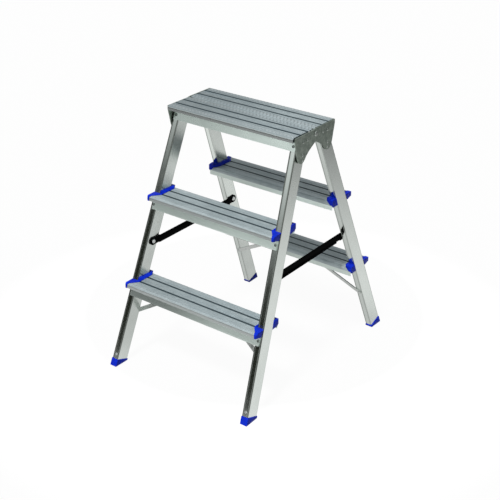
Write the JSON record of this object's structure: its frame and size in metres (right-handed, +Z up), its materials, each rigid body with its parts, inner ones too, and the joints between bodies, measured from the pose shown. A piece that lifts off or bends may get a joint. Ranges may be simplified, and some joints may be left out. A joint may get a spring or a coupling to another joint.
{
  "type": "step ladder",
  "caption": "Double-sided folding aluminium step ladder with ribbed treads on both sides, a small platform on top, riveted hinge plates, flat spreader bars and moulded tread caps and feet",
  "frame": {"origin": "on the floor, under the middle of the platform", "axes": "+X along the treads to the right, +Y from the front frame to the rear frame, +Z up"},
  "size_m": [0.464, 0.6392, 0.68],
  "materials": {
    "stile_aluminium": "bright drawn aluminium",
    "tread_aluminium": "ribbed mill-finish extrusion",
    "blue_plastic": "satin moulded plastic",
    "hinge_metal": "dull zinc-plated sheet",
    "black_bar": "black satin paint",
    "brace_aluminium": "flat bar, mill finish",
    "rivet_aluminium": "plain rivet",
    "screw_steel": "zinc-plated cross-head screw"
  },
  "bodies": {
    "front_frame": {"front_stile_left": "stile_aluminium", "front_stile_right": "stile_aluminium", "front_platform_tread": "tread_aluminium", "front_middle_tread": "tread_aluminium", "front_bottom_tread": "tread_aluminium", "front_cap_middle_left": "blue_plastic", "front_cap_middle_right": "blue_plastic", "front_cap_bottom_left": "blue_plastic", "front_cap_bottom_right": "blue_plastic", "front_foot_left": "blue_plastic", "front_foot_right": "blue_plastic", "front_hinge_plate_left": "hinge_metal", "front_hinge_plate_right": "hinge_metal", "front_brace_left": "brace_aluminium", "front_brace_right": "brace_aluminium", "front_tread_rivets": "rivet_aluminium", "front_plate_rivets": "rivet_aluminium", "front_foot_screws": "screw_steel", "front_brace_rivets": "brace_aluminium", "pivot_rivet_left": "rivet_aluminium", "pivot_rivet_right": "rivet_aluminium", "spreader_front_rivets": "rivet_aluminium"},
    "rear_frame": {"rear_stile_left": "stile_aluminium", "rear_stile_right": "stile_aluminium", "rear_platform_tread": "tread_aluminium", "rear_middle_tread": "tread_aluminium", "rear_bottom_tread": "tread_aluminium", "rear_cap_middle_left": "blue_plastic", "rear_cap_middle_right": "blue_plastic", "rear_cap_bottom_left": "blue_plastic", "rear_cap_bottom_right": "blue_plastic", "rear_foot_left": "blue_plastic", "rear_foot_right": "blue_plastic", "rear_hinge_plate_left": "hinge_metal", "rear_hinge_plate_right": "hinge_metal", "rear_brace_left": "brace_aluminium", "rear_brace_right": "brace_aluminium", "rear_tread_rivets": "rivet_aluminium", "rear_plate_rivets": "rivet_aluminium", "rear_foot_screws": "screw_steel", "rear_brace_rivets": "brace_aluminium"},
    "bar_left": {"spreader_left": "black_bar", "spreader_pin_left": "rivet_aluminium"},
    "bar_right": {"spreader_right": "black_bar", "spreader_pin_right": "rivet_aluminium"}
  },
  "joints": [
    {"name": "fold", "type": "hinge", "parent": "front_frame", "child": "rear_frame", "pos_m": [0, 0, 0.667], "axis": [-1, 0, 0], "range_deg": [0, 37]},
    {"name": "bar_left_turn", "type": "hinge", "parent": "front_frame", "child": "bar_left", "pos_m": [-0.19, -0.17188, 0.327], "axis": [-1, 0, 0], "range_deg": [0, 18.5]},
    {"name": "bar_right_turn", "type": "hinge", "parent": "front_frame", "child": "bar_right", "pos_m": [0.19, -0.17188, 0.327], "axis": [-1, 0, 0], "range_deg": [0, 18.5]}
  ],
  "couplings": [
    {"joint": "bar_left_turn", "follows": "fold", "ratio": 0.5},
    {"joint": "bar_right_turn", "follows": "fold", "ratio": 0.5}
  ]
}
